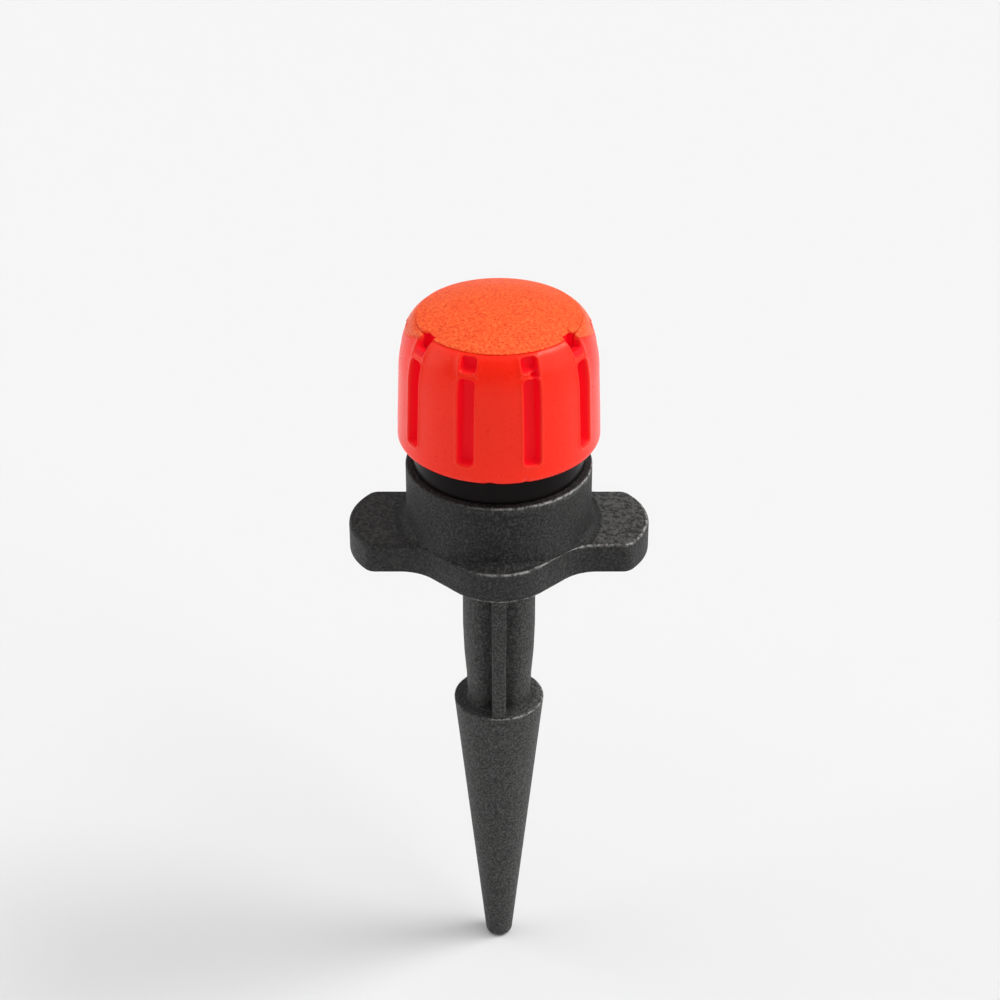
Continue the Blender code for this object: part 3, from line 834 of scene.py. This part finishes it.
def make_barb(sizes, colours):
    """Barb cone, shoulder and ribbed stem, turned with ribs on the front and the back."""
    rib_reach = sizes.rib_reach / MM
    side = rib_section(sizes.rib_half / MM, rib_reach)
    root = math.degrees(math.atan2(side[-1][0], side[-1][1]))
    free = [root + 1.2, root + 2.6, root + 4.5] + steps_to(root + 7.0, 90.0, 4.0)
    quarter = [("rib", i) for i in range(len(side) - 1)] + [("round", a) for a in free]
    columns = []
    for start, order in ((0.0, 1), (180.0, -1), (180.0, 1), (360.0, -1)):
        section = [(kind, value, start, order) for kind, value in quarter]
        if order == 1:
            columns += section + [("round", 90.0, start, order)]
        else:
            columns += section[::-1][:-1]
    tip = BARB_TIP
    outline = [
        (2.45, SPIGOT_TOP, 0.15),
        (2.45, FLANGE_BOTTOM - 0.02, 0.03),
        (2.87, FLANGE_BOTTOM - 0.02, 0.05),
    ]
    top = path([(1.0, SPIGOT_TOP, 0.0)] + outline, 0.5)[1:]
    stem_start = len(top)
    stem = [(stem_radius(z), z) for z in steps_to(FLANGE_BOTTOM - 0.1, 0.5, 0.4)]
    stem += [(2.5, 0.3), (2.5, 0.15), (2.53, 0.06), (2.6, 0.01)]
    stem_end = stem_start + len(stem)
    below = [
        (2.7, 0.0, 0.0),
        (SHOULDER_RADIUS, 0.0, 0.14),
        (mix(SHOULDER_RADIUS, 1.1, 0.015), -0.4, 0.0),
    ]
    shoulder = with_rows(rounded(below, False, 5), 0.25, False)
    cone_end = tip + 0.6
    cone = [(mix(SHOULDER_RADIUS, 1.12, z / cone_end), z) for z in steps_to(-0.9, cone_end, 0.6)]
    tip_round = arc((0.52, cone_end), (0.6, 0.6), 0.0, -84.0, 7)
    bore = [
        (0.52, tip, 0.0),
        (0.45, tip + 0.01, 0.04),
        (0.45, -20.0, 0.2),
        (1.0, -14.0, 0.3),
        (1.0, SPIGOT_TOP, 0.1),
        (2.45, SPIGOT_TOP, 0.0),
    ]
    inside = path(bore, 1.2)
    points = top + stem + shoulder + cone + tip_round + inside[1:-1]

    def degrees_of(column):
        kind, value, start, order = columns[column]
        if kind == "rib":
            value = root * value / (len(side) - 1)
        return start + order * value

    def where(row, column):
        kind, value, start, order = columns[column]
        r, z = points[row]
        on_stem = stem_start <= row < stem_end
        if kind == "rib" and on_stem:
            across, out = side[value]
            share = clamp((rib_reach - out) / (rib_reach - 2.5))
            out = mix(rib_reach, min(out, stem_radius(z) - 0.3), share)
            x, y = order * across, -out
            turn = math.radians(start)
            cos, sin = math.cos(turn), math.sin(turn)
            return Vector((x * cos - y * sin, x * sin + y * cos, z))
        angle = degrees_of(column)
        if on_stem:
            from_rib = min(abs((angle + 90.0) % 180.0 - 90.0), 90.0)
            r -= 0.5 * bump(from_rib, root, 15.0)
        return around(angle, r, z)

    # Painted highlight: a light line along the shoulder's rim and pale grit on its ledge, on the
    # sides facing the lights at the right and front.
    def wear(row, column):
        r, z = points[row]
        angle = math.radians(degrees_of(column))
        facing = ease(0.25 + 0.75 * math.sin(angle) + 0.35 * math.cos(angle))
        edge = 0.8 * bump(z, -0.03, 0.055) * clamp((r - 3.4) / 0.1)
        grit = 0.22 * clamp((r - 2.75) / 0.2) * bump(z, 0.0, 0.02) * ease(2.0 * math.sin(angle))
        return facing * max(edge, grit)

    shape = turned(points, len(columns), True, where, wear=wear)
    # Painted light: the barb's black is a lighter copy of the base's.
    black = matte_plastic("barb_black_plastic", colours.barb)
    return finish_piece("ribbed_barb", shape, black, "base", "base_plastic", "barb_spigot")


# ---- small round parts


def turned_piece(name, corners, closed, material, body, slot, node, columns=96):
    """A plain turned part from rounded corners."""
    outline = path(corners, 0.3, closed)
    angles = even_angles(columns)
    shape = turned(outline, columns, closed, lambda row, at: around(angles[at], *outline[row]))
    return finish_piece(name, shape, material, body, slot, node)


def ring_corners(node, wire):
    """Corners of a ring of round section that fills a part's box."""
    height = (low(node) + high(node)) / 2.0
    middle = reach(node) - wire
    spots = ((1, 1), (1, -1), (-1, -1), (-1, 1))
    return [(middle + x * wire, height + y * wire, wire * 0.98) for x, y in spots]


def make_seals(colours):
    """Seat washer, neck gasket and cap O-ring."""
    rubber = black_rubber("black_rubber", colours.rubber)
    washer = reach("seat_washer")
    bottom, top = low("seat_washer"), high("seat_washer")
    corners = [(washer, top, 0.1), (washer, bottom, 0.1), (0.75, bottom, 0.08), (0.75, top, 0.12)]
    turned_piece("rubber_washer", corners, True, rubber, "base", "seal_rubber", "seat_washer")
    for name, node, wire, body in (
        ("neck_o_ring", "neck_gasket", 0.4, "base"),
        ("hub_o_ring", "cap_o_ring", 0.375, "seal"),
    ):
        turned_piece(name, ring_corners(node, wire), True, rubber, body, "seal_rubber", node)


def make_needle(colours):
    """Metering needle with a slim cone at its lower end."""
    bottom, top = low("metering_needle"), high("metering_needle")
    corners = [
        (0.0, top, 0.0),
        (1.0, top, 0.12),
        (1.0, bottom + 2.2, 0.3),
        (0.25, bottom, 0.1),
        (0.0, bottom, 0.0),
    ]
    white = needle_plastic("natural_white_plastic", colours.needle)
    return turned_piece(
        "needle", corners, False, white, "cap", "needle_plastic", "metering_needle", 48
    )


# ---- materials


class Value:
    """A number socket that takes part in arithmetic."""

    def __init__(self, graph, socket):
        self.graph = graph
        self.socket = socket

    def _math(self, operation, a, b):
        return self.graph.node("ShaderNodeMath", {"operation": operation}, {0: a, 1: b})

    def __add__(self, other):
        return self._math("ADD", self, other)

    def __sub__(self, other):
        return self._math("SUBTRACT", self, other)

    def __rsub__(self, other):
        return self._math("SUBTRACT", other, self)

    def __mul__(self, other):
        return self._math("MULTIPLY", self, other)

    __radd__ = __add__
    __rmul__ = __mul__


class Graph:
    """The node tree of one material."""

    def __init__(self, name):
        self.material = bpy.data.materials.new(name)
        self.material.use_nodes = True
        self.tree = self.material.node_tree
        self.shader = self.tree.nodes["Principled BSDF"]
        self.place = self.node("ShaderNodeTexCoord", {}, {}, "Object")

    def node(self, kind, settings, inputs, output=0):
        """Add a node: its settings first, then its sockets' values or links."""
        made = self.tree.nodes.new(kind)
        for key, setting in settings.items():
            if key == "stops":
                self.set_stops(made.color_ramp, setting)
            else:
                setattr(made, key, setting)
        for key, value in inputs.items():
            self.fill(made.inputs[key], value)
        return Value(self, made.outputs[output])

    def set_stops(self, ramp, stops):
        """Give a ramp its grey stops, as (position, value)."""
        for i, (position, value) in enumerate(stops):
            stop = ramp.elements[i] if i < 2 else ramp.elements.new(position)
            stop.position = position
            stop.color = (value, value, value, 1.0)

    def fill(self, socket, value):
        """Link a socket, or set it."""
        if isinstance(value, Value):
            self.tree.links.new(value.socket, socket)
        elif hasattr(value, "__len__") and len(value) == 3 and socket.type == "RGBA":
            socket.default_value = (*value, 1.0)
        else:
            socket.default_value = value

    def noise(self, size, detail=2.0, rough=0.5, stretch=None):
        """Noise whose features are about size millimetres across, from 0 to 1."""
        where = self.place
        if stretch:
            where = self.node("ShaderNodeMapping", {}, {"Vector": where, "Scale": stretch})
        inputs = {
            "Vector": where,
            "Scale": 1.0 / (size * MM),
            "Detail": detail,
            "Roughness": rough,
        }
        return self.node("ShaderNodeTexNoise", {}, inputs, "Fac")

    def pits(self, size, width):
        """Small round spots on a grid of cells: 1 at a spot's middle, 0 away from it."""
        inputs = {"Vector": self.place, "Scale": 1.0 / (size * MM)}
        away = self.node("ShaderNodeTexVoronoi", {"feature": "F1"}, inputs, "Distance")
        return self.ramp(away, (0.0, 1.0), (width, 0.0))

    def ramp(self, value, *stops):
        """A value led through grey stops."""
        return self.node("ShaderNodeValToRGB", {"stops": stops}, {"Fac": value}, "Color")

    def mixed(self, share, a, b):
        """Colour a share of the way from a to b."""
        made = self.tree.nodes.new("ShaderNodeMix")
        made.data_type = "RGBA"
        first, second = [s for s in made.inputs if s.type == "RGBA"]
        for socket, value in ((made.inputs[0], share), (first, a), (second, b)):
            self.fill(socket, value)
        return Value(self, next(s for s in made.outputs if s.type == "RGBA"))

    def attribute(self, name):
        """A number stored on the piece's points."""
        return self.node("ShaderNodeAttribute", {"attribute_name": name}, {}, "Fac")

    def relief(self, height, depth):
        """Bump of a height map, depth millimetres deep."""
        inputs = {"Height": height, "Distance": depth * MM, "Strength": 1.0}
        return self.node("ShaderNodeBump", {}, inputs, "Normal")

    def finish(self, **sockets):
        """Set or link the shader's sockets by name, with spaces written as underscores."""
        for key, value in sockets.items():
            self.fill(self.shader.inputs[key.replace("_", " ")], value)
        return self.material


# Pale grey of the bright edges and rubbed grains, partly wear and partly painted highlight.
WEAR_AND_HIGHLIGHT_GREY = (0.42, 0.42, 0.41)


def scaled(tint, share):
    """A colour made darker or lighter."""
    return tuple(min(1.0, c * share) for c in tint)


SKIRT_LOOK = {
    "grain": 0.24,
    "relief": 0.006,
    "sparkle": 0.12,
    "rough": (0.24, 0.34),
    "shine": 0.4,
}
CROWN_LOOK = {
    "grain": 0.19,
    "relief": 0.075,
    "sparkle": 0.95,
    "rough": (0.36, 0.54),
    "shine": 0.3,
}
# Painted light: a red glow that the red plastic emits everywhere, lifting its shaded sides, and a
# stronger one in the grooves.
PAINTED_RED_GLOW = (0.11, 0.002, 0.0)
PAINTED_GROOVE_GLOW = (0.20, 0.0, 0.004)
GROOVE_ROUGHNESS = 0.4


def grained_red(graph, tint, look):
    """Base colour and relief of red plastic: flow marks, fine grain and a few pale specks."""
    clouds = graph.noise(3.5, 3.0, 0.55, (1.0, 1.0, 0.6))
    grain = graph.noise(look["grain"], 3.0, 0.65)
    lines = graph.noise(0.5, 2.0, 0.5, (0.12, 0.12, 1.0))
    flow = graph.mixed(clouds, scaled(tint, 0.86), scaled(tint, 1.14))
    sparkle = graph.ramp(grain, (0.42, 0.0), (0.70, 1.0)) * look["sparkle"]
    lighter = (1.0, min(1.0, tint[1] * 2.6 + 0.03), tint[2] * 2.6 + 0.012)
    hollows = graph.ramp(grain, (0.26, 1.0), (0.46, 0.0)) * (0.7 * look["sparkle"])
    pitted = graph.mixed(hollows, flow, (tint[0] * 0.62, tint[1] * 0.3, tint[2] * 0.4))
    speck = graph.pits(0.9, 0.06) * 0.5
    face = graph.mixed(speck, graph.mixed(sparkle, pitted, lighter), (1.0, 0.36, 0.2))
    height = (grain + lines * 0.5 + clouds * 1.5) * look["relief"]
    return face, grain, height


def red_plastic(name, colours, tint, look):
    """Saturated red moulded plastic: painted shade makes the grooves deep red, and a painted red
    glow lights the whole surface, more in the grooves.
    """
    graph = Graph(name)
    face, grain, height = grained_red(graph, tint, look)
    if look is SKIRT_LOOK:
        over = graph.attribute("crown")
        top_face, _, top_height = grained_red(graph, colours.crown, CROWN_LOOK)
        face = graph.mixed(over, face, top_face)
        height = height + (top_height - height) * over
    # Painted shade: the groove mark darkens the flutes and outlets to deep red.
    groove = graph.attribute("groove")
    low_rough, high_rough = look["rough"]
    return graph.finish(
        Base_Color=graph.mixed(groove, face, colours.groove),
        Roughness=grain * (high_rough - low_rough) + low_rough + groove * GROOVE_ROUGHNESS,
        Normal=graph.relief(height, 1.0),
        # Painted glow, stronger in the grooves.
        Emission_Color=graph.mixed(groove, PAINTED_RED_GLOW, PAINTED_GROOVE_GLOW),
        Emission_Strength=1.0,
        IOR=1.49,
        Specular_IOR_Level=look["shine"],
        Specular_Tint=(1.0, 0.66, 0.5, 1.0),
    )


def matte_plastic(name, tint):
    """Spark-eroded black plastic: sharp fine grain, coarser pits, bright edges that are partly
    wear and partly painted highlight, and painted shade on the collar's middle.
    """
    graph = Graph(name)
    clouds = graph.noise(4.0, 3.0, 0.6)
    grain = graph.noise(0.19, 3.0, 0.65)
    coarse = graph.noise(0.38, 3.0, 0.62)
    # This mark is partly real wear and partly painted highlight on the edges and the right wing's
    # top.
    wear = graph.attribute("wear") * graph.ramp(coarse, (0.42, 0.15), (0.58, 1.0))
    tone = graph.mixed(clouds, scaled(tint, 0.75), scaled(tint, 1.25))
    # Painted shade: the shade mark darkens the collar's middle, front and back.
    collar_shaded_tone = graph.mixed(graph.attribute("shade") * 0.85, tone, scaled(tint, 0.2))
    speckle = graph.ramp(grain, (0.47, 0.0), (0.68, 1.0))
    pit = graph.ramp(grain, (0.34, 1.0), (0.46, 0.0))
    pitted = graph.mixed(pit * 0.7, collar_shaded_tone, scaled(tint, 0.1))
    toned = graph.mixed(speckle * 0.75, pitted, scaled(tint, 3.6))
    base = graph.mixed(wear, toned, WEAR_AND_HIGHLIGHT_GREY)
    return graph.finish(
        Base_Color=base,
        Roughness=0.66 - grain * 0.2 - wear * 0.15,
        Normal=graph.relief(grain + coarse * 0.8, 0.11),
        IOR=1.5,
        Specular_IOR_Level=0.3,
    )


def gloss_plastic(name, tint):
    """Glossy black plastic with faint turning marks and smears."""
    graph = Graph(name)
    smears = graph.noise(1.6, 3.0, 0.6)
    rings = graph.noise(0.3, 1.0, 0.5, (0.05, 0.05, 1.0))
    base = graph.mixed(smears, tint, scaled(tint, 2.2))
    return graph.finish(
        Base_Color=base,
        Roughness=smears * 0.12 + 0.16,
        Normal=graph.relief(rings, 0.002),
        IOR=1.5,
        Specular_IOR_Level=0.06,
    )


def black_rubber(name, tint):
    """Dull black rubber with a fine bloom."""
    graph = Graph(name)
    bloom = graph.noise(0.8, 3.0, 0.6)
    grain = graph.noise(0.08, 2.0, 0.6)
    base = graph.mixed(bloom, scaled(tint, 0.8), scaled(tint, 1.7))
    return graph.finish(
        Base_Color=base, Roughness=bloom * 0.1 + 0.62, Normal=graph.relief(grain, 0.006), IOR=1.52
    )


def needle_plastic(name, tint):
    """Natural white acetal with faint turning marks."""
    graph = Graph(name)
    clouds = graph.noise(1.5, 2.0, 0.5)
    rings = graph.noise(0.1, 1.0, 0.5, (0.05, 0.05, 1.0))
    base = graph.mixed(clouds, scaled(tint, 0.9), tint)
    return graph.finish(
        Base_Color=base,
        Roughness=clouds * 0.1 + 0.32,
        Normal=graph.relief(rings, 0.002),
        Subsurface_Weight=0.15,
        Subsurface_Radius=(1.0, 0.9, 0.7),
        Subsurface_Scale=0.0008,
    )


# ---- stage


# Each lamp's name, the direction it stands in, its spread and its strength.
LAMPS = (
    ("key_right", (0.34, -0.08, 0.24), 70.0, 1.6),
    ("sheen_right", (0.62, 0.06, 0.77), 24.0, 1.15),
    ("fill_left", (-0.36, 0.04, 0.14), 60.0, 1.15),
    ("top", (-0.04, 0.10, 0.83), 90.0, 0.75),
)


def far_lamp(name, towards, spread, strength):
    """A distant lamp that lights the floor evenly. Its spread, in degrees, softens shadows."""
    light = bpy.data.lights.new(name, "SUN")
    light.angle = math.radians(spread)
    light.energy = strength
    lamp = bpy.data.objects.new(name, light)
    lamp.rotation_mode = "QUATERNION"
    lamp.rotation_quaternion = (-Vector(towards)).to_track_quat("-Z", "Y")
    bpy.context.scene.collection.objects.link(lamp)


def make_surroundings(settings):
    """White surroundings that look bright and light the emitter softly."""
    world = bpy.data.worlds.new("white_surroundings")
    world.use_nodes = True
    nodes, links = world.node_tree.nodes, world.node_tree.links
    seen = nodes.new("ShaderNodeLightPath").outputs["Is Camera Ray"]
    strength = nodes.new("ShaderNodeMix")
    strength.inputs[2].default_value = settings.surround
    strength.inputs[3].default_value = settings.backdrop
    links.new(seen, strength.inputs[0])
    links.new(strength.outputs[0], nodes["Background"].inputs["Strength"])
    nodes["Background"].inputs["Color"].default_value = (1.0, 1.0, 1.0, 1.0)
    bpy.context.scene.world = world


def make_floor(settings):
    """Wide pale floor at the barb's tip."""
    shape = bmesh.new()
    bmesh.ops.create_grid(shape, x_segments=1, y_segments=1, size=4.0)
    bmesh.ops.translate(shape, vec=(0.0, 0.0, BARB_TIP * MM), verts=shape.verts)
    mesh = bpy.data.meshes.new("seamless_floor")
    shape.to_mesh(mesh)
    shape.free()
    graph = Graph("floor_paper")
    shade = graph.noise(400.0, 2.0, 0.5)
    base = graph.mixed(shade, scaled(settings.floor, 0.99), settings.floor)
    mesh.materials.append(graph.finish(Base_Color=base, Roughness=0.9, Specular_IOR_Level=0.1))
    floor = bpy.data.objects.new("seamless_floor", mesh)
    bpy.context.scene.collection.objects.link(floor)


def make_stage(settings):
    """Camera, white surroundings, soft lights and the floor."""
    scene = bpy.context.scene
    camera = bpy.data.objects.new("camera", bpy.data.cameras.new("camera"))
    camera.data.lens = settings.lens
    camera.data.clip_start = 0.01
    camera.location = (0.00008, -settings.distance, settings.height)
    camera.rotation_euler = (math.pi / 2.0 - settings.dip, 0.0, 0.0)
    scene.collection.objects.link(camera)
    scene.camera = camera
    make_surroundings(settings)
    scene.view_settings.view_transform = "Standard"
    make_floor(settings)
    for lamp in LAMPS:
        far_lamp(*lamp)


# ---- add-on


class EMITTER_OT_skirt(bpy.types.Operator):
    """Build the fluted skirt of the cap"""

    bl_idname = "emitter.skirt"
    bl_label = "Fluted Skirt"

    def execute(self, context):
        make_skirt(context.scene.emitter_sizes, context.scene.emitter_colours)
        return {"FINISHED"}


class EMITTER_OT_crown(bpy.types.Operator):
    """Build the domed crown with its hub"""

    bl_idname = "emitter.crown"
    bl_label = "Domed Crown"

    def execute(self, context):
        make_crown(context.scene.emitter_sizes, context.scene.emitter_colours)
        return {"FINISHED"}


class EMITTER_OT_neck(bpy.types.Operator):
    """Build the glossy threaded neck"""

    bl_idname = "emitter.neck"
    bl_label = "Threaded Neck"

    def execute(self, context):
        make_neck(context.scene.emitter_colours)
        return {"FINISHED"}


class EMITTER_OT_flange(bpy.types.Operator):
    """Build the winged flange with its collar"""

    bl_idname = "emitter.flange"
    bl_label = "Winged Flange"

    def execute(self, context):
        make_flange(context.scene.emitter_sizes, context.scene.emitter_colours)
        return {"FINISHED"}


class EMITTER_OT_barb(bpy.types.Operator):
    """Build the barb with its shoulder and ribbed stem"""

    bl_idname = "emitter.barb"
    bl_label = "Ribbed Barb"

    def execute(self, context):
        make_barb(context.scene.emitter_sizes, context.scene.emitter_colours)
        return {"FINISHED"}


class EMITTER_OT_seals(bpy.types.Operator):
    """Build the washer and both rubber rings"""

    bl_idname = "emitter.seals"
    bl_label = "Rubber Seals"

    def execute(self, context):
        make_seals(context.scene.emitter_colours)
        return {"FINISHED"}


class EMITTER_OT_needle(bpy.types.Operator):
    """Build the metering needle"""

    bl_idname = "emitter.needle"
    bl_label = "Metering Needle"

    def execute(self, context):
        make_needle(context.scene.emitter_colours)
        return {"FINISHED"}


class EMITTER_OT_stage(bpy.types.Operator):
    """Set up the floor, lights and camera"""

    bl_idname = "emitter.stage"
    bl_label = "Stage"

    def execute(self, context):
        make_stage(context.scene.emitter_stage)
        return {"FINISHED"}


STEPS = ("skirt", "crown", "neck", "flange", "barb", "seals", "needle", "stage")


class EMITTER_PT_panel(bpy.types.Panel):
    """Sidebar panel with one button for each piece"""

    bl_idname = "EMITTER_PT_panel"
    bl_label = "Drip Emitter"
    bl_space_type = "VIEW_3D"
    bl_region_type = "UI"
    bl_category = "Emitter"

    def draw(self, context):
        layout = self.layout
        for group in GROUPS:
            settings = getattr(context.scene, group)
            box = layout.box()
            for key in settings.bl_rna.properties.keys():
                if key not in ("rna_type", "name"):
                    box.prop(settings, key)
        for step in STEPS:
            layout.operator("emitter." + step)


GROUPS = {
    "emitter_sizes": EmitterSizes,
    "emitter_colours": EmitterColours,
    "emitter_stage": EmitterStage,
}
CLASSES = tuple(GROUPS.values()) + (
    EMITTER_OT_skirt,
    EMITTER_OT_crown,
    EMITTER_OT_neck,
    EMITTER_OT_flange,
    EMITTER_OT_barb,
    EMITTER_OT_seals,
    EMITTER_OT_needle,
    EMITTER_OT_stage,
    EMITTER_PT_panel,
)


def register():
    for item in CLASSES:
        bpy.utils.register_class(item)
    for name, group in GROUPS.items():
        setattr(bpy.types.Scene, name, PointerProperty(type=group))


def unregister():
    for name in GROUPS:
        delattr(bpy.types.Scene, name)
    for item in reversed(CLASSES):
        bpy.utils.unregister_class(item)


def main():
    """Build every piece and the stage."""
    register()
    for step in STEPS:
        getattr(bpy.ops.emitter, step)()


if __name__ == "__main__":
    main()
